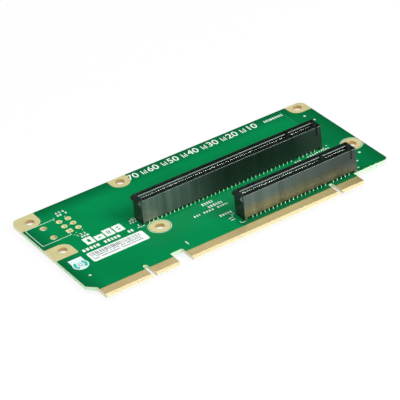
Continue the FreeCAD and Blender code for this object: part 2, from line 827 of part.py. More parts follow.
board, board_body = make_board()
for slot_name, slot_y, slot_length, contact_count in SLOTS:
    make_housing(slot_name, slot_y, slot_length, contact_count)
    make_contacts(slot_name, slot_y, contact_count)
    make_solder(slot_name, slot_y, contact_count)
make_fingers("x16", X16_TONGUE_KEY, "x16_long_side")
make_fingers("x4", X4_TONGUE_KEY, "x4_long_side")
make_ground_pads(board_body)
make_header_pads()
make_fiducials()
make_label()
make_seal()
doc.recompute()

HELPERS = {"board_blank", "tail_drills", "x16_blank", "x16_cavities", "x8_blank",
           "x8_cavities"}
for item in doc.Objects:
    if "Invalid" in item.State or "Error" in item.State:
        raise RuntimeError("%s failed to build: %s" % (item.Label, item.State))
nodes = [item for item in doc.RootObjects
         if hasattr(item, "Shape") and item.Label not in HELPERS]
for item in nodes:
    if item.Shape.isNull() or not item.Shape.isValid() or not item.Shape.Solids:
        raise RuntimeError("%s has no valid solid" % item.Label)

os.makedirs("parts", exist_ok=True)
for item in nodes:
    item.Shape.exportStep("parts/%s.step" % item.Label)
    print("%-26s %4d solids %10.3f mm3" % (
        item.Label, len(item.Shape.Solids), item.Shape.Volume))
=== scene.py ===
import json
import math
import random

import bmesh
import bpy
from mathutils import Matrix, Vector


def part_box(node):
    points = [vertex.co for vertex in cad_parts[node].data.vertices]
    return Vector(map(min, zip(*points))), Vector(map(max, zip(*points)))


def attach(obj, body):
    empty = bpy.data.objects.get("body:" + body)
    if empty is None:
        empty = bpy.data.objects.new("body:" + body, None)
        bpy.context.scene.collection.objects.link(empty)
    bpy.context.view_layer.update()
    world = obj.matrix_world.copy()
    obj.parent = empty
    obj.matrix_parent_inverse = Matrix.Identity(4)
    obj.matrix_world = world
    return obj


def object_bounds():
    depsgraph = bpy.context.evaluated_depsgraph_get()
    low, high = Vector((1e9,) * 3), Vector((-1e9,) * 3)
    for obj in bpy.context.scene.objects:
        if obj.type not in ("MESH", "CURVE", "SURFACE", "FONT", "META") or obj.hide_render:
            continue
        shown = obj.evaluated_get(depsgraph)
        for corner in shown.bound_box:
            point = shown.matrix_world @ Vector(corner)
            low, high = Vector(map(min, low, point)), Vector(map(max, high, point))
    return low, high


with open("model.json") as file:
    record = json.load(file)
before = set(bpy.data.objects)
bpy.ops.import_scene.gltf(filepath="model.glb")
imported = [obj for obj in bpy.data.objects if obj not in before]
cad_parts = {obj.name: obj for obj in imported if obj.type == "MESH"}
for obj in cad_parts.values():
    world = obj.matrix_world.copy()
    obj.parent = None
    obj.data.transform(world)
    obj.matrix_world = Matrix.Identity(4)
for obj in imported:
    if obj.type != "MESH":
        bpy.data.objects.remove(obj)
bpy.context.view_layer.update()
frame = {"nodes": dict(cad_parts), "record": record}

# Everything below is written in millimetres on the board and turned into metres here.
MM = 0.001
BOARD_LOW, BOARD_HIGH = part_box("circuit_board")
INK_THICK = 0.03
# Degrees that one plate of a printed ring spans.
ARC_STEP = 7.5
# How tall the built-in letters' figures stand, as a share of their size, and how much their
# strokes are thickened on each side, as a share of their height.
FIGURE_SHARE = 0.73
FIGURE_BOLDNESS = 0.012


def on_board(x, y):
    """A point from the board's left edge and the tips of its tongues, in the row frame."""
    return Vector((BOARD_LOW.x + x * MM, BOARD_LOW.y + y * MM, BOARD_HIGH.z))


def node_extent(node):
    """A node's lowest and highest corners in millimetres from the same edges."""
    low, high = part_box(node)
    corner = Vector((BOARD_LOW.x, BOARD_LOW.y, BOARD_HIGH.z))
    return (low - corner) / MM, (high - corner) / MM


def linear(red, green, blue):
    """A colour as it is seen, 0 to 255 a channel, as the light values that shaders take."""
    def channel(level):
        share = level / 255
        return share / 12.92 if share <= 0.04045 else ((share + 0.055) / 1.055) ** 2.4
    return channel(red), channel(green), channel(blue), 1.0


# ------------------------------------------------------------ node helpers

def place(tree, kind, **settings):
    """Adds a node of a kind to a tree and sets it up."""
    node = tree.nodes.new(kind)
    for name, setting in settings.items():
        setattr(node, name, setting)
    return node


def feed(tree, socket, source):
    """A socket takes another node's output, or a plain value."""
    if isinstance(source, bpy.types.NodeSocket):
        tree.links.new(source, socket)
    else:
        socket.default_value = source


def maths(tree, operation, first, second=0.0):
    """One sum on values or outputs."""
    node = place(tree, "ShaderNodeMath", operation=operation)
    feed(tree, node.inputs[0], first)
    feed(tree, node.inputs[1], second)
    return node.outputs[0]


def blend_colours(tree, share, first, second):
    """The first colour, turning to the second as the share goes from 0 to 1."""
    node = place(tree, "ShaderNodeMix", data_type="RGBA")
    feed(tree, node.inputs["Factor"], share)
    feed(tree, node.inputs[6], first)
    feed(tree, node.inputs[7], second)
    return node.outputs[2]


def spread(tree, source, from_low, from_high, to_low, to_high):
    """Carries a value from one range to another, held at both ends."""
    node = place(tree, "ShaderNodeMapRange")
    for socket, level in zip(node.inputs, (source, from_low, from_high, to_low, to_high)):
        feed(tree, socket, level)
    return node.outputs[0]


def own_place(tree):
    """The point on the object, in metres, and its parts along X, Y and Z."""
    point = place(tree, "ShaderNodeTexCoord").outputs["Object"]
    split = place(tree, "ShaderNodeSeparateXYZ")
    tree.links.new(point, split.inputs[0])
    return point, split.outputs


def own_facing(tree):
    """The parts along X, Y and Z of the way that a face looks."""
    split = place(tree, "ShaderNodeSeparateXYZ")
    geometry = place(tree, "ShaderNodeNewGeometry")
    tree.links.new(geometry.outputs["True Normal"], split.inputs[0])
    return split.outputs


def mm_from(tree, axis, origin):
    """How far in millimetres a coordinate lies past an origin in metres."""
    return maths(tree, "MULTIPLY", maths(tree, "SUBTRACT", axis, origin), 1 / MM)


def new_group(name, inputs, outputs):
    """A shared effect, with its inputs as (name, kind, default)."""
    tree = bpy.data.node_groups.new(name, "ShaderNodeTree")
    for socket, kind, default in inputs:
        made = tree.interface.new_socket(socket, in_out="INPUT", socket_type=kind)
        made.default_value = default
    for socket, kind in outputs:
        tree.interface.new_socket(socket, in_out="OUTPUT", socket_type=kind)
    return tree, tree.nodes.new("NodeGroupInput"), tree.nodes.new("NodeGroupOutput")


def use_group(tree, group, **values):
    """Places a shared effect with its own values, and gives its outputs."""
    node = place(tree, "ShaderNodeGroup", node_tree=group)
    for name, value in values.items():
        feed(tree, node.inputs[name.replace("_", " ")], value)
    return node.outputs


def make_mottle():
    """Soft cloudy variation with a finer grain over it, both round 0.5."""
    tree, given, out = new_group(
        "mottle",
        [("Cloud Size", "NodeSocketFloat", 10.0), ("Grain Size", "NodeSocketFloat", 1.0)],
        [("Cloud", "NodeSocketFloat"), ("Grain", "NodeSocketFloat")])
    point, _ = own_place(tree)
    for size, result, detail in (("Cloud Size", "Cloud", 3.0), ("Grain Size", "Grain", 2.0)):
        noise = place(tree, "ShaderNodeTexNoise")
        tree.links.new(point, noise.inputs["Vector"])
        feed(tree, noise.inputs["Scale"],
             maths(tree, "DIVIDE", 1.0 / MM, given.outputs[size]))
        noise.inputs["Detail"].default_value = detail
        tree.links.new(noise.outputs["Fac"], out.inputs[result])
    return tree


def make_rubbing():
    """Fine streaks along one way, as left by sliding in and out of a slot."""
    tree, given, out = new_group(
        "rubbing",
        [("Across", "NodeSocketFloat", 0.15), ("Along", "NodeSocketFloat", 6.0)],
        [("Streak", "NodeSocketFloat")])
    point, _ = own_place(tree)
    stretch = place(tree, "ShaderNodeCombineXYZ")
    feed(tree, stretch.inputs[0], maths(tree, "DIVIDE", 1.0 / MM, given.outputs["Across"]))
    feed(tree, stretch.inputs[1], maths(tree, "DIVIDE", 1.0 / MM, given.outputs["Along"]))
    feed(tree, stretch.inputs[2], 1.0)
    scaled = place(tree, "ShaderNodeVectorMath", operation="MULTIPLY")
    tree.links.new(point, scaled.inputs[0])
    tree.links.new(stretch.outputs[0], scaled.inputs[1])
    noise = place(tree, "ShaderNodeTexNoise")
    tree.links.new(scaled.outputs[0], noise.inputs["Vector"])
    noise.inputs["Scale"].default_value = 1.0
    noise.inputs["Detail"].default_value = 2.0
    tree.links.new(noise.outputs["Fac"], out.inputs["Streak"])
    return tree


MOTTLE = make_mottle()
RUBBING = make_rubbing()


def new_material(name, **plain):
    """A material whose unchanging values sit on the shader's own sockets."""
    material = bpy.data.materials.new(name)
    material.use_nodes = True
    shader = material.node_tree.nodes["Principled BSDF"]
    for socket, level in plain.items():
        shader.inputs[socket.replace("_", " ")].default_value = level
    return material, material.node_tree, shader


def bump(tree, shader, height, depth):
    """Raises the surface by a height map, depth in millimetres."""
    node = place(tree, "ShaderNodeBump")
    node.inputs["Distance"].default_value = depth * MM
    feed(tree, node.inputs["Height"], height)
    tree.links.new(node.outputs["Normal"], shader.inputs["Normal"])


# ------------------------------------------------------------ finishes

MASK_GREEN = linear(0, 136, 77)
MASK_DEEP = linear(0, 124, 68)
MASK_DARK_AND_SHADED = linear(0, 96, 52)
LAMINATE_EDGE = linear(216, 246, 210)
LAMINATE_DEEP = linear(172, 208, 160)
LAMINATE_BARE = linear(176, 158, 108)
LAMINATE_BEVEL = linear(228, 214, 170)
LAMINATE_TIP = linear(230, 226, 198)
LAMINATE_BY_PAD = linear(246, 238, 198)
HOLE_PLATING = linear(232, 220, 168)

# How far the bevelled tips, the bare band between the fingers and the notches reach back from
# the tips of the tongues, and the depth that all peg holes lie behind.
TIP_DEPTH = 1.0
BARE_DEPTH = 5.6
NOTCH_DEPTH = 8.1
HOLES_BEHIND = 17.0
# How close the bands of glass cloth lie in a cut edge.
LAYERS_PER_MM = 0.55
# How wide the painted shade is that darkens the mask along the card's left, right and back edges.
EDGE_SHADE_WIDTH = 9.0
# Other places where the mask is darker, as left, front, right and back on the board, with how much
# of
# the deeper green each one takes: a strip along the right end, and painted shade in front of the
# short slot.
DARK_AND_SHADED_PATCHES = ((134.2, 0.0, 146.0, 71.0, 0.5), (72.0, 0.0, 133.0, 9.0, 0.9))


def inside_box(tree, axes, left, front, right, back, soft=2.5):
    """1 within an oblong on the board, falling to 0 over a soft border outside it."""
    spans = []
    for axis, origin, low, high in ((axes[0], BOARD_LOW.x, left, right),
                                    (axes[1], BOARD_LOW.y, front, back)):
        reach = mm_from(tree, axis, origin)
        rising = spread(tree, reach, low - soft, low, 0, 1)
        falling = spread(tree, reach, high, high + soft, 1, 0)
        spans.append(maths(tree, "MULTIPLY", rising, falling))
    return maths(tree, "MULTIPLY", *spans)


def make_board_finish():
    """Green solder mask on the faces, bare laminate at the fingers, bevels and edges."""
    material, tree, shader = new_material("solder_mask_laminate", IOR=1.5,
                                          Specular_IOR_Level=0.15)
    point, axes = own_place(tree)
    mottle = use_group(tree, MOTTLE, Cloud_Size=42.0, Grain_Size=0.9)
    mask = blend_colours(tree, spread(tree, mottle["Cloud"], 0.35, 0.65, 0, 1),
                         MASK_DEEP, MASK_GREEN)

    # Painted shade: the mask is painted darker towards the card's left, right and back edges.
    reach = [maths(tree, "SUBTRACT", axes[0], BOARD_LOW.x),
             maths(tree, "SUBTRACT", BOARD_HIGH.x, axes[0]),
             maths(tree, "SUBTRACT", BOARD_HIGH.y, axes[1])]
    nearest = maths(tree, "MINIMUM", maths(tree, "MINIMUM", reach[0], reach[1]), reach[2])
    edge_shade = spread(tree, nearest, 0.0, EDGE_SHADE_WIDTH * MM, 1, 0)
    mask = blend_colours(tree, edge_shade, mask, MASK_DARK_AND_SHADED)
    # A darker strip along the right end, and painted shade where the short slot's shadow falls in
    # front of it.
    for *oblong, deeper in DARK_AND_SHADED_PATCHES:
        darkening = maths(tree, "MULTIPLY", inside_box(tree, axes, *oblong), deeper)
        mask = blend_colours(tree, darkening, mask, MASK_DARK_AND_SHADED)

    # Flat faces: mask, and bare laminate between the fingers.
    depth = maths(tree, "SUBTRACT", axes[1], BOARD_LOW.y)
    bare = maths(tree, "LESS_THAN", depth, BARE_DEPTH * MM)
    face = blend_colours(tree, bare, mask, LAMINATE_BARE)

    # Cut edges: layers of glass cloth, creamier by the pads, at the tips and in the notches.
    facing = own_facing(tree)
    layers = place(tree, "ShaderNodeTexWave", bands_direction="Z")
    layers.inputs["Scale"].default_value = LAYERS_PER_MM / MM
    layers.inputs["Distortion"].default_value = 1.5
    tree.links.new(point, layers.inputs["Vector"])
    edge = blend_colours(tree, spread(tree, layers.outputs["Fac"], 0.2, 1, 0.4, 0),
                         LAMINATE_EDGE, LAMINATE_DEEP)
    for node in ("ground_pad_left", "ground_pad_back_left"):
        low, high = node_extent(node)
        padded = inside_box(tree, axes, -1.0, low.y + 0.5, 1.0, high.y - 0.5, soft=0.5)
        edge = blend_colours(tree, maths(tree, "MULTIPLY", padded, 0.85), edge, LAMINATE_BY_PAD)
    sideways = maths(tree, "GREATER_THAN", maths(tree, "ABSOLUTE", facing[0]), 0.8)
    in_notch = maths(tree, "MULTIPLY", maths(tree, "LESS_THAN", depth, NOTCH_DEPTH * MM), sideways)
    tip = maths(tree, "MAXIMUM", maths(tree, "LESS_THAN", depth, TIP_DEPTH * MM), in_notch)
    edge = blend_colours(tree, tip, edge, LAMINATE_TIP)
    inner = maths(tree, "MULTIPLY", maths(tree, "GREATER_THAN", nearest, MM),
                  maths(tree, "GREATER_THAN", depth, HOLES_BEHIND * MM))
    edge = blend_colours(tree, inner, edge, HOLE_PLATING)

    # Slopes: the bevels of the tongues.
    bevel = blend_colours(tree, spread(tree, mottle["Grain"], 0.3, 0.7, 0, 0.35),
                          LAMINATE_BEVEL, LAMINATE_BARE)
    upright = maths(tree, "ABSOLUTE", facing[2])
    sloped = maths(tree, "GREATER_THAN", upright, 0.5)
    flat = maths(tree, "GREATER_THAN", upright, 0.98)
    side = blend_colours(tree, sloped, edge, bevel)
    colour = blend_colours(tree, flat, side, face)
    tree.links.new(colour, shader.inputs["Base Color"])

    masked = maths(tree, "MULTIPLY", flat, maths(tree, "SUBTRACT", 1.0, bare))
    gloss = spread(tree, mottle["Grain"], 0.3, 0.7, 0.28, 0.33)
    feed(tree, shader.inputs["Roughness"],
         maths(tree, "ADD", maths(tree, "MULTIPLY", masked, gloss),
               maths(tree, "MULTIPLY", maths(tree, "SUBTRACT", 1.0, masked), 0.6)))
    bump(tree, shader, mottle["Grain"], 0.001)
    return material


PLASTIC_REFLECTION = linear(86, 104, 96)
PLASTIC_FINGER_REFLECTION = linear(134, 122, 80)
PLASTIC_SLOPE_HIGHLIGHT = linear(94, 110, 104)
BETWEEN_SLOTS = (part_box("x8_housing")[1].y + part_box("x16_housing")[0].y) / 2
# Where the painted reflections on the slots' fronts start to fade and where they end, from the
# board's left edge.
LONG_SLOT_REFLECTION = (52.0, 78.0)
SHORT_SLOT_REFLECTION = (88.0, 126.0)
SHORT_SLOT_FINGER_REFLECTION = (84.0, 130.0)
# Over which heights above the board the painted reflection of the fingers fades.
FINGER_REFLECTION_HEIGHTS = (3.0, 7.5)


def make_plastic():
    """Moulded black slot plastic, semi-matte with a faint flow pattern, with painted reflections
    and a painted highlight.
    """
    # Painted reflection: the green specular tint stands in for the green board seen in the
    # plastic's reflections.
    material, tree, shader = new_material("slot_plastic", IOR=1.58, Coat_Weight=0.4,
                                          Coat_Roughness=0.2, Specular_IOR_Level=0.55,
                                          Specular_Tint=(0.66, 1.0, 0.84, 1.0))
    mottle = use_group(tree, MOTTLE, Cloud_Size=9.0, Grain_Size=0.35)
    colour = blend_colours(tree, mottle["Cloud"], linear(5, 9, 7), linear(10, 16, 12))
    flow = use_group(tree, RUBBING, Across=4.0, Along=60.0)["Streak"]

    # Painted reflection: a pale veil of reflected light over the front faces, fading from each
    # slot's left end and smeared along the flow streaks. Low on the short slot, over its tails, it
    # takes the tan of the gold fingers seen in reflection.
    _, axes = own_place(tree)
    along = mm_from(tree, axes[0], BOARD_LOW.x)
    long_slot = maths(tree, "GREATER_THAN", axes[1], BETWEEN_SLOTS)
    short_slot = maths(tree, "SUBTRACT", 1.0, long_slot)
    low_down = spread(tree, mm_from(tree, axes[2], BOARD_HIGH.z), *FINGER_REFLECTION_HEIGHTS, 1.0, 0.0)
    long_reflection = spread(tree, along, *LONG_SLOT_REFLECTION, 1.0, 0.0)
    finger_reflection = maths(tree, "MULTIPLY", low_down, spread(tree, along, *SHORT_SLOT_FINGER_REFLECTION, 0.75, 0.35))
    short_reflection = maths(tree, "MAXIMUM", spread(tree, along, *SHORT_SLOT_REFLECTION, 0.7, 0.0), finger_reflection)
    painted_reflection = maths(tree, "ADD", maths(tree, "MULTIPLY", long_reflection, long_slot),
                  maths(tree, "MULTIPLY", short_reflection, short_slot))
    facing = own_facing(tree)
    painted_reflection = maths(tree, "MULTIPLY", painted_reflection, maths(tree, "LESS_THAN", facing[1], -0.9))
    painted_reflection = maths(tree, "MULTIPLY", painted_reflection, spread(tree, flow, 0.3, 0.7, 0.35, 1.0))
    finger_tint = maths(tree, "MULTIPLY", low_down, short_slot)
    colour = blend_colours(tree, painted_reflection, colour,
                           blend_colours(tree, finger_tint, PLASTIC_REFLECTION, PLASTIC_FINGER_REFLECTION))

    # Painted highlight: the slopes that lead into the groove are painted paler, where they catch
    # the front lamp.
    sloped = maths(tree, "MULTIPLY", maths(tree, "GREATER_THAN", facing[2], 0.3),
                   maths(tree, "LESS_THAN", facing[1], -0.5))
    colour = blend_colours(tree, sloped, colour, PLASTIC_SLOPE_HIGHLIGHT)
    tree.links.new(colour, shader.inputs["Base Color"])
    feed(tree, shader.inputs["Roughness"], spread(tree, flow, 0.35, 0.65, 0.46, 0.64))
    bump(tree, shader, mottle["Grain"], 0.002)
    return material


# Where the fingers turn to their tanned colour, in two steps from the board's left edge.
TAN_STEPS = ((58.0, 72.0), (96.0, 126.0))


def make_gold(name, bright, dull, roughness, metal, rubbed=0.0, tanned=None, lining=None):
    """Gold plating: clouded a little, and streaked along Y where a slot has rubbed it.

    A tanned colour is what it turns to towards the card's right end. A lining is the colour of
    its upright faces, down in the holes.
    """
    material, tree, shader = new_material(name, Metallic=metal, Roughness=roughness)
    mottle = use_group(tree, MOTTLE, Cloud_Size=5.0, Grain_Size=0.25)
    colour = blend_colours(tree, spread(tree, mottle["Cloud"], 0.3, 0.7, 0, 1), bright, dull)
    if tanned:
        along = mm_from(tree, own_place(tree)[1][0], BOARD_LOW.x)
        steps = [spread(tree, along, *step, 0.0, 0.5) for step in TAN_STEPS]
        colour = blend_colours(tree, maths(tree, "ADD", *steps), colour, tanned)
    if lining:
        upright = maths(tree, "LESS_THAN", maths(tree, "ABSOLUTE", own_facing(tree)[2]), 0.5)
        colour = blend_colours(tree, upright, colour, lining)
    tree.links.new(colour, shader.inputs["Base Color"])
    if rubbed:
        streak = use_group(tree, RUBBING, Across=0.09, Along=7.0)["Streak"]
        feed(tree, shader.inputs["Roughness"],
             spread(tree, streak, 0.3, 0.7, roughness - rubbed, roughness + rubbed))
    bump(tree, shader, mottle["Grain"], 0.003)
    return material


# The height above the board at which a spring contact's tail ends and its tip starts.
TIP_HEIGHT = 3.0


def make_contact_gold():
    """Plated spring strip, paler at the tips in the groove than at the soldered tails, with
    painted reflection and painted light.
    """
    material, tree, shader = new_material("contact_gold", Roughness=0.36)
    mottle = use_group(tree, MOTTLE, Cloud_Size=5.0, Grain_Size=0.25)
    _, axes = own_place(tree)
    high = maths(tree, "GREATER_THAN", axes[2], BOARD_HIGH.z + TIP_HEIGHT * MM)
    # Painted reflection: both colours are tinted green by the mask around them. Painted light: the
    # tips are near white to show bright in the groove's shade.
    tail = blend_colours(tree, mottle["Cloud"], linear(206, 232, 200), linear(180, 212, 176))
    tip = blend_colours(tree, mottle["Cloud"], linear(250, 255, 240), linear(238, 250, 230))
    tree.links.new(blend_colours(tree, high, tail, tip), shader.inputs["Base Color"])
    feed(tree, shader.inputs["Metallic"], spread(tree, high, 0, 1, 0.35, 0.9))
    bump(tree, shader, mottle["Grain"], 0.003)
    return material


def make_tin():
    """Reflowed solder: bright, with soft grey patches."""
    material, tree, shader = new_material("solder", Metallic=1.0)
    mottle = use_group(tree, MOTTLE, Cloud_Size=0.8, Grain_Size=0.15)
    colour = blend_colours(tree, mottle["Cloud"], linear(168, 184, 168), linear(206, 218, 202))
    tree.links.new(colour, shader.inputs["Base Color"])
    feed(tree, shader.inputs["Roughness"], spread(tree, mottle["Cloud"], 0.3, 0.7, 0.18, 0.34))
    bump(tree, shader, mottle["Grain"], 0.005)
    return material


def make_print(name, light, shade, roughness, patch, depth):
    """Ink, paper or film: nearly even, with a little unevenness in tone and height."""
    material, tree, shader = new_material(name)
    mottle = use_group(tree, MOTTLE, Cloud_Size=patch, Grain_Size=0.2)
    colour = blend_colours(tree, spread(tree, mottle["Cloud"], 0.3, 0.7, 0, 1), light, shade)
    tree.links.new(colour, shader.inputs["Base Color"])
    feed(tree, shader.inputs["Roughness"],
         spread(tree, mottle["Grain"], 0.3, 0.7, roughness - 0.05, roughness + 0.05))
    bump(tree, shader, mottle["Grain"], depth)
    return material


FINISHES = {
    "solder_mask_laminate": make_board_finish(),
    "slot_plastic": make_plastic(),
    "contact_gold": make_contact_gold(),
    "finger_gold": make_gold("finger_gold", linear(255, 236, 180), linear(250, 222, 164),
                             0.34, 0.55, rubbed=0.06, tanned=linear(182, 166, 114)),
    "pad_gold": make_gold("pad_gold", linear(243, 234, 174), linear(230, 220, 162), 0.5, 0.4,
                          lining=linear(202, 168, 116)),
    "solder": make_tin(),
    "label_paper": make_print("label_paper", linear(248, 254, 250), linear(240, 250, 244),
                              0.5, 6.0, 0.004),
    "sticker_film": make_print("sticker_film", linear(232, 250, 246), linear(218, 242, 238),
                               0.35, 3.0, 0.002),
    "silk_ink": make_print("silk_ink", linear(242, 250, 242), linear(226, 240, 230),
                           0.6, 1.2, 0.006),
}
# Finishes of small pieces that differ from the rest of their slot, and of the printed marks.
SMALL_PAD = make_gold("small_pads", linear(242, 238, 184), linear(232, 228, 172), 0.6, 0.15)
ALIGNMENT_TIN = make_gold("alignment_tin", linear(214, 236, 200), linear(200, 226, 186),
                          0.6, 0.15)
OWN_FINISHES = {"header_pads": SMALL_PAD, "fiducial_dots": ALIGNMENT_TIN}
INK_GREY = make_print("label_print", linear(98, 104, 106), linear(134, 140, 142),
                      0.6, 0.8, 0.002)
INK_TEAL = make_print("sticker_print", linear(26, 164, 158), linear(58, 186, 180),
                      0.5, 1.0, 0.002)
INK_PALE = make_print("sticker_tint", linear(150, 214, 208), linear(176, 226, 220),
                      0.5, 1.0, 0.002)
INK_FAINT = make_print("trace_ridge", linear(30, 152, 100), linear(14, 140, 88),
                       0.4, 2.0, 0.004)


def dress_cad_nodes():
    """Gives each CAD node the finish of its material slot, or its own."""
    slots = {part["node"]: part["material_slot"] for part in frame["record"]["subparts"]}
    for name, node in frame["nodes"].items():
        node.data.materials.clear()
        node.data.materials.append(OWN_FINISHES.get(name, FINISHES[slots[name]]))


# ------------------------------------------------------------ printed marks

def start_print(height=0.0):
    """An empty drawing of flat marks, at a height above the board's face."""
    return bmesh.new(), height


def add_prism(drawing, outline):
    """A flat mark of one ink's thickness on an outline of board points."""
    mesh, height = drawing
    low = Vector((0, 0, height * MM))
    high = Vector((0, 0, (height + INK_THICK) * MM))
    bottom = [mesh.verts.new(on_board(x, y) + low) for x, y in outline]
    top = [mesh.verts.new(on_board(x, y) + high) for x, y in outline]
    mesh.faces.new(top)
    mesh.faces.new(bottom[::-1])
    for number in range(len(outline)):
        after = (number + 1) % len(outline)
        mesh.faces.new((bottom[number], bottom[after], top[after], top[number]))


def add_bar(drawing, left, front, right, back):
    """An upright oblong mark."""
    add_prism(drawing, [(left, front), (right, front), (right, back), (left, back)])


def add_line(drawing, start, end, width):
    """A straight stroke between two points."""
    along = Vector((end[0] - start[0], end[1] - start[1]))
    aside = Vector((-along.y, along.x)).normalized() * width / 2
    add_prism(drawing, [(start[0] - aside.x, start[1] - aside.y),
                        (end[0] - aside.x, end[1] - aside.y),
                        (end[0] + aside.x, end[1] + aside.y),
                        (start[0] + aside.x, start[1] + aside.y)])


def add_arc(drawing, centre, radius, width, start=0.0, sweep=360.0):
    """A ring or part of one, as short joined plates."""
    count = max(1, round(sweep / ARC_STEP))
    for number in range(count):
        corners = []
        for angle, reach in ((number, -1), (number, 1), (number + 1, 1), (number + 1, -1)):
            turn = math.radians(start + sweep * angle / count)
            distance = radius + reach * width / 2
            corners.append((centre[0] + distance * math.cos(turn),
                            centre[1] + distance * math.sin(turn)))
        add_prism(drawing, corners)


def add_disc(drawing, centre, radius, sides=20):
    """A round dot."""
    turns = [2 * math.pi * number / sides for number in range(sides)]
    add_prism(drawing, [(centre[0] + radius * math.cos(turn), centre[1] + radius * math.sin(turn))
                        for turn in turns])


def add_figures(drawing, figures, left, front, size):
    """Plain figures with their feet on a line, as tall as size."""
    curve = bpy.data.curves.new("figures", "FONT")
    curve.body = figures
    curve.size = size * MM / FIGURE_SHARE
    curve.offset = FIGURE_BOLDNESS * size * MM
    curve.extrude = INK_THICK * MM / 2
    writer = bpy.data.objects.new("figures", curve)
    bpy.context.scene.collection.objects.link(writer)
    bpy.context.view_layer.update()
    mesh = bpy.data.meshes.new_from_object(
        writer.evaluated_get(bpy.context.evaluated_depsgraph_get()))
    mesh.transform(Matrix.Translation(
        on_board(left, front) + Vector((0, 0, (drawing[1] + INK_THICK / 2) * MM))))
    drawing[0].from_mesh(mesh)
    bpy.data.objects.remove(writer)
    bpy.data.curves.remove(curve)
    bpy.data.meshes.remove(mesh)


def add_dashes(drawing, left, front, right, back, seed, gap=0.45, widths=(0.6, 1.1)):
    """A row of small upright dashes of uneven width, in place of words."""
    chance = random.Random(seed)
    x = left
    while x < right:
        width = chance.uniform(*widths)
        if chance.random() > 0.15:
            add_bar(drawing, x, front, min(x + width, right), back)
        x += width + gap


def finish_print(drawing, name, ink):
    """Turns a drawing into a piece of the card."""
    mesh = bpy.data.meshes.new(name)
    drawing[0].normal_update()
    drawing[0].to_mesh(mesh)
    drawing[0].free()
    mesh.materials.append(ink)
    piece = bpy.data.objects.new(name, mesh)
    bpy.context.scene.collection.objects.link(piece)
    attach(piece, "root")


def print_header_outline():
    """The outline of the power header that isn't fitted, its pin dots and pin numbers."""
    low, high = node_extent("header_pads")
    left, right = low.x - 12.85, low.x + 0.45
    front, back = low.y - 1.6, high.y + 1.9
    ends = 1.0
    line = 0.22
    drawing = start_print()
    for start, end in (((left, front), (left, back)), ((left, back), (right, back)),
                       ((left, front), (right, front)), ((right, back), (right, back - ends)),
                       ((right, front), (right, front + ends))):
        add_line(drawing, start, end, line)
    middle = (low.x + high.x) / 2
    for x, y in ((low.x + 1.0, back + 0.5), (high.x - 1.5, high.y + 0.9),
                 (middle + 0.4, (low.y + high.y) / 2), (middle - 0.6, front + 0.1),
                 (high.x - 1.0, front + 0.2), (low.x + 1.3, front - 1.1)):
        add_disc(drawing, (x, y), 0.22, sides=10)
    add_figures(drawing, "4 5 6", low.x + 2.9, back + 2.4, 1.5)
    add_dashes(drawing, low.x + 2.9, back + 0.6, high.x + 0.8, back + 1.7, seed=3)
    add_figures(drawing, "1 2 3", low.x + 1.5, front - 3.0, 1.5)
    add_dashes(drawing, low.x + 1.5, front - 4.8, high.x - 0.8, front - 3.7, seed=4)
    finish_print(drawing, "header_print", FINISHES["silk_ink"])


def print_contact_scale():
    """A numbered scale of the contacts, along the back edge behind the long slot."""
    _, high = node_extent("x16_back_contacts")
    front = (BOARD_HIGH.y - BOARD_LOW.y) / MM - 5.2
    tall = 3.9
    pitch = 1.0
    last = 70
    tick_wide, tick_step = 0.4, 0.9
    drawing = start_print()
    for number in range(10, last + 1, 10):
        x = high.x - number * pitch
        add_figures(drawing, str(number), x - 2.6, front, tall)
        # The last number stands beside a ground pad, which leaves no room for ticks.
        for tick in range(3 if number < last else 0):
            left = x - 5.5 + tick_step * tick
            add_bar(drawing, left, front, left + tick_wide,
                    front + tall * (0.45 if tick % 2 else 0.8))
    add_dashes(drawing, high.x - 3.5, front + 0.6, high.x + 6.0, front + 2.1, seed=8,
               gap=0.5, widths=(0.5, 0.8))
    finish_print(drawing, "contact_scale", FINISHES["silk_ink"])


def print_blocks():
    """Four bold windowed blocks and a row of dashes between the label and the header."""
    low, high = node_extent("serial_label")
    left = low.x + 4.1
    front = high.y + 5.1
    wide, tall, gap, stroke = 4.0, 5.2, 0.6, 1.4
    small = 0.7 * tall
    split_half, cross_half = 0.2, 0.5
    drawing = start_print()
    for number, (height, window) in enumerate(((tall, "whole"), (small, "whole"),
                                               (tall, "split"), (tall, "crossed"))):
        x = left + number * (wide + gap)
        top = front + height
        inner_left, inner_right = x + stroke, x + wide - stroke
        add_bar(drawing, x, front, inner_left, top)
        add_bar(drawing, inner_right, front, x + wide, top)
        add_bar(drawing, inner_left, top - stroke, inner_right, top)
        add_bar(drawing, inner_left, front, inner_right, front + stroke)
        if window == "split":
            middle = x + wide / 2
            add_bar(drawing, middle - split_half, front + stroke, middle + split_half,
                    top - stroke)
        if window == "crossed":
            middle = front + height / 2
            add_bar(drawing, inner_left, middle - cross_half, inner_right, middle + cross_half)
    add_dashes(drawing, low.x + 0.2, high.y + 1.7, low.x + 24.2, high.y + 3.5, seed=5,
               gap=0.55, widths=(0.8, 1.3))
    finish_print(drawing, "bold_blocks", FINISHES["silk_ink"])


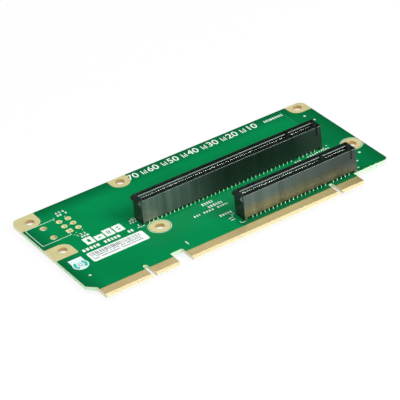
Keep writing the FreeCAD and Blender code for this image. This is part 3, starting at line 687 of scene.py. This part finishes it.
def print_slot_corners():
    """Corner marks of the two slots, and rings round the two pads between them."""
    drawing = start_print()
    edge, arm, line = 0.45, 1.6, 0.2
    for node in ("x16_housing", "x8_housing"):
        low, high = node_extent(node)
        for x, inward in ((low.x - edge, 1), (high.x + edge, -1)):
            for y, upward in ((low.y - edge, 1), (high.y + edge, -1)):
                add_line(drawing, (x, y), (x + inward * arm, y), line)
                add_line(drawing, (x, y), (x, y + upward * arm), line)
    # The right pad's ring stops short of the board's edge.
    width = 0.22
    for node in ("ground_pad_centre", "ground_pad_right"):
        low, high = node_extent(node)
        centre = ((low.x + high.x) / 2, (low.y + high.y) / 2)
        radius = (high.x - low.x) / 2 + 0.4
        to_edge = (BOARD_HIGH.x - BOARD_LOW.x) / MM - centre[0] - 0.1
        cut = math.degrees(math.acos(min(1.0, to_edge / (radius + width / 2))))
        add_arc(drawing, centre, radius, width, start=cut, sweep=360 - 2 * cut)
    finish_print(drawing, "slot_corners", FINISHES["silk_ink"])


def print_small_marks():
    """Small rows of dashes beside the slots, where a maker would print part places."""
    drawing = start_print()
    x16_low, x16_high = node_extent("x16_housing")
    x8_low, x8_high = node_extent("x8_housing")
    # Each row's left end, front edge, length and height.
    rows = [
        (x16_low.x - 1.7, x16_low.y + 5.8, 3.0, 0.9),
        (x16_low.x - 2.2, x16_low.y + 4.2, 3.0, 0.9),
        (x16_low.x - 1.8, x16_low.y + 1.2, 3.0, 0.9),
        (x16_low.x - 1.6, x16_low.y - 0.3, 5.2, 0.4),
        (x8_low.x - 5.6, x8_high.y + 13.1, 4.9, 1.8),
        (x8_low.x - 4.4, x8_high.y + 10.2, 6.4, 1.7),
        (x8_low.x - 12.9, x8_high.y + 8.1, 16.4, 1.1),
        (x8_low.x - 4.5, x8_high.y + 1.7, 6.0, 1.4),
        (x16_high.x - 16.3, x16_low.y - 1.8, 4.4, 0.7),
        (x16_high.x - 8.9, x16_low.y - 1.8, 4.6, 0.7),
        (x16_high.x - 4.0, x16_low.y - 1.5, 6.2, 0.8),
        (x16_high.x - 1.0, x16_low.y + 0.6, 4.2, 0.7),
        (x16_high.x + 8.9, x16_high.y + 14.0, 2.8, 1.0),
    ]
    for number, (left, front, length, tall) in enumerate(rows):
        add_dashes(drawing, left, front, left + length, front + tall, seed=20 + number,
                   gap=0.6, widths=(0.4, 0.8))
    for number in range(2):
        front = x8_low.y + 5.2 - 1.5 * number
        add_bar(drawing, x8_low.x - 2.8, front, x8_low.x - 0.8, front + 0.35)
    for x, y in ((x8_high.x + 5.2, x8_high.y - 0.1), (x8_high.x + 2.3, x8_low.y + 2.3)):
        add_disc(drawing, (x, y), 0.4)
    add_figures(drawing, "1", x16_low.x + 6.9, x8_low.y + 0.8, 2.6)
    finish_print(drawing, "small_marks", FINISHES["silk_ink"])


def raise_guard_trace():
    """A single copper track under the mask, behind the long slot's right end."""
    _, high = node_extent("x16_housing")
    drawing = start_print()
    back = (BOARD_HIGH.y - BOARD_LOW.y) / MM
    x = high.x + 3.6
    add_line(drawing, (x, high.y + 4.0), (x, back - 1.2), 0.3)
    finish_print(drawing, "guard_trace", INK_FAINT)


def print_label():
    """Bars of uneven width, and two rows of tiny dashes below them."""
    low, high = node_extent("serial_label")
    drawing = start_print(high.z)
    chance = random.Random(11)
    x = low.x + 1.0
    while x < high.x - 1.6:
        width = chance.choice((0.18, 0.28, 0.42))
        add_bar(drawing, x, low.y + 4.0, x + width, low.y + 6.3)
        x += width + chance.choice((0.22, 0.34, 0.5))
    for front, seed in ((2.8, 12), (1.3, 13)):
        add_dashes(drawing, low.x + 1.0, low.y + front, high.x - 2.4, low.y + front + 0.8,
                   seed=seed, gap=0.28, widths=(0.3, 0.6))
    finish_print(drawing, "label_bars", INK_GREY)


def print_sticker():
    """Two bold teal arcs round a paler ring, with a small grey ring at the middle."""
    low, high = node_extent("inspection_sticker")
    radius = (high.x - low.x) / 2
    centre = ((low.x + high.x) / 2, low.y + radius)
    drawing = start_print(high.z)
    for start in (125, -55):
        add_arc(drawing, centre, 0.7 * radius, 1.0, start=start, sweep=110)
    finish_print(drawing, "sticker_ring", INK_TEAL)
    drawing = start_print(high.z)
    add_arc(drawing, centre, 0.46 * radius, 0.5)
    finish_print(drawing, "sticker_tint", INK_PALE)
    drawing = start_print(high.z)
    add_arc(drawing, centre, 0.2 * radius, 0.3)
    finish_print(drawing, "sticker_centre", INK_GREY)


# ------------------------------------------------------------ floor, light and camera

FLOOR_SIZE = 6.0
# The share of the floor's look that is its own white, so that its shadow stays soft.
FLOOR_GLOW = 0.88
# Each lamp's name, turn and rise in degrees, distance and width in metres, and power.
LAMPS = (("front_lamp", 33, 38, 1.4, 0.6, 12.5), ("low_lamp", 28, 9, 1.4, 0.8, 2),
         ("left_lamp", -80, 52, 1.4, 1.1, 7), ("top_lamp", 0, 80, 1.5, 1.2, 9.5))
# The room's strength before the card and behind it.
ROOM_BEFORE, ROOM_BEHIND = 0.32, 0.06
# The camera's lens in millimetres, its turn, rise and roll in degrees, its distance in metres,
# and how far its aim lies left of and before the board's middle.
LENS = 205.4
CAMERA_TURN = -30.19
CAMERA_RISE = 32.46
CAMERA_ROLL = -5.86
CAMERA_DISTANCE = 0.9306
AIM_LEFT = 4.5
AIM_FRONT = 2.0


def make_floor():
    """A pale floor that shows nearly white and still takes the card's shadow."""
    material = bpy.data.materials.new("pale_floor")
    material.use_nodes = True
    tree = material.node_tree
    tree.nodes.remove(tree.nodes["Principled BSDF"])
    output = tree.nodes["Material Output"]
    matte = place(tree, "ShaderNodeBsdfDiffuse")
    matte.inputs["Color"].default_value = (0.9, 0.9, 0.9, 1)
    glow = place(tree, "ShaderNodeEmission")
    glow.inputs["Color"].default_value = (1, 1, 1, 1)
    rays = place(tree, "ShaderNodeLightPath")
    seen = maths(tree, "MAXIMUM", rays.outputs["Is Camera Ray"], rays.outputs["Is Glossy Ray"])
    seen = maths(tree, "MAXIMUM", seen, rays.outputs["Is Transmission Ray"])
    mixed = place(tree, "ShaderNodeMixShader")
    feed(tree, mixed.inputs[0], maths(tree, "MULTIPLY", seen, FLOOR_GLOW))
    tree.links.new(matte.outputs[0], mixed.inputs[1])
    tree.links.new(glow.outputs[0], mixed.inputs[2])
    tree.links.new(mixed.outputs[0], output.inputs["Surface"])
    mesh = bpy.data.meshes.new("floor")
    half = FLOOR_SIZE / 2
    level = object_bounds()[0][2]
    mesh.from_pydata([(-half, -half, level), (half, -half, level), (half, half, level),
                      (-half, half, level)], [], [(0, 1, 2, 3)])
    mesh.materials.append(material)
    floor = bpy.data.objects.new("floor", mesh)
    bpy.context.scene.collection.objects.link(floor)


def aim_from(turn, rise):
    """The direction from the card to something seen at that turn and rise."""
    turn, rise = math.radians(turn), math.radians(rise)
    return Vector((math.sin(turn) * math.cos(rise), -math.cos(turn) * math.cos(rise),
                   math.sin(rise)))


def add_lamp(name, turn, rise, distance, size, power):
    """A square soft lamp that looks at the card from a turn and a rise in degrees."""
    data = bpy.data.lights.new(name, "AREA")
    data.size = size
    data.energy = power
    lamp = bpy.data.objects.new(name, data)
    away = aim_from(turn, rise)
    lamp.location = away * distance
    lamp.rotation_mode = "QUATERNION"
    lamp.rotation_quaternion = away.to_track_quat("Z", "Y")
    bpy.context.scene.collection.objects.link(lamp)


def make_light():
    """Soft lamps in a room that is dimmer behind the card than before it."""
    scene = bpy.context.scene
    scene.world = bpy.data.worlds.new("soft_room")
    scene.world.use_nodes = True
    tree = scene.world.node_tree
    sky = tree.nodes["Background"]
    sky.inputs["Color"].default_value = (0.96, 0.98, 1.0, 1)
    way = place(tree, "ShaderNodeSeparateXYZ")
    tree.links.new(place(tree, "ShaderNodeTexCoord").outputs["Generated"], way.inputs[0])
    feed(tree, sky.inputs["Strength"], spread(tree, way.outputs[1], -0.3, 0.4,
                                                ROOM_BEFORE, ROOM_BEHIND))
    for lamp in LAMPS:
        add_lamp(*lamp)
    scene.view_settings.view_transform = "Standard"


def make_camera():
    """A long lens that looks down at the card from its front left."""
    data = bpy.data.cameras.new("camera")
    data.lens = LENS
    data.sensor_width = 36
    data.clip_start = 0.01
    camera = bpy.data.objects.new("camera", data)
    centre = (BOARD_LOW + BOARD_HIGH) / 2
    aim = Vector((centre.x - AIM_LEFT * MM, centre.y - AIM_FRONT * MM, BOARD_HIGH.z))
    back = aim_from(CAMERA_TURN, CAMERA_RISE)
    camera.location = aim + back * CAMERA_DISTANCE
    camera.rotation_mode = "QUATERNION"
    roll = Matrix.Rotation(math.radians(CAMERA_ROLL), 4, "Z").to_quaternion()
    camera.rotation_quaternion = back.to_track_quat("Z", "Y") @ roll
    bpy.context.scene.collection.objects.link(camera)
    bpy.context.scene.camera = camera


dress_cad_nodes()
print_header_outline()
print_contact_scale()
print_blocks()
print_slot_corners()
print_small_marks()
raise_guard_trace()
print_label()
print_sticker()
make_floor()
make_light()
make_camera()
